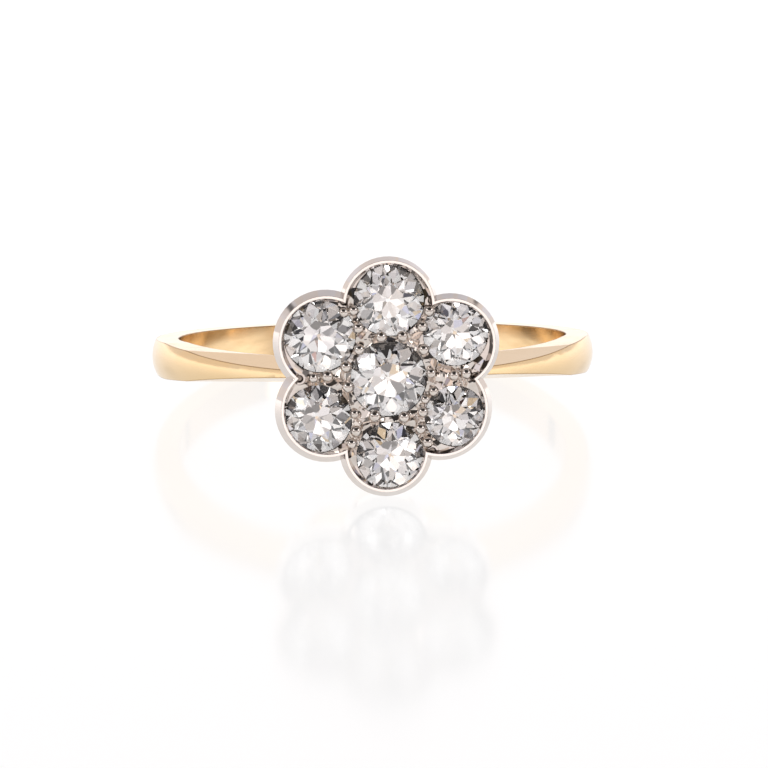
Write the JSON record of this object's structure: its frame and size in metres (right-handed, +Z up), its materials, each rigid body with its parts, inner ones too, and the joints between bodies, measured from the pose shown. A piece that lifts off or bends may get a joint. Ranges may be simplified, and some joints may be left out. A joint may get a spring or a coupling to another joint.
{
  "type": "flower cluster engagement ring",
  "caption": "Yellow gold ring with tapering bevelled shoulders and a scalloped white metal head of round old-cut stones set as a flower, lying on its side",
  "frame": {"origin": "on the floor under the middle of the ring's bounding box", "axes": "+X to the right of the head seen from the front, +Y from the head towards the back of the shank, +Z up; the ring lies on its side, on the lowest petal and the back of the shank"},
  "size_m": [0.0192, 0.023, 0.01],
  "materials": {
    "gold": "polished 18 carat yellow gold",
    "platinum": "polished platinum",
    "diamond": "clear colourless diamond, polished flat facets"
  },
  "bodies": {
    "root": {"shank": "gold", "setting": "platinum", "stone_centre": "diamond", "stone_top": "diamond", "stone_upper_left": "diamond", "stone_lower_left": "diamond", "stone_bottom": "diamond", "stone_lower_right": "diamond", "stone_upper_right": "diamond"}
  },
  "joints": []
}
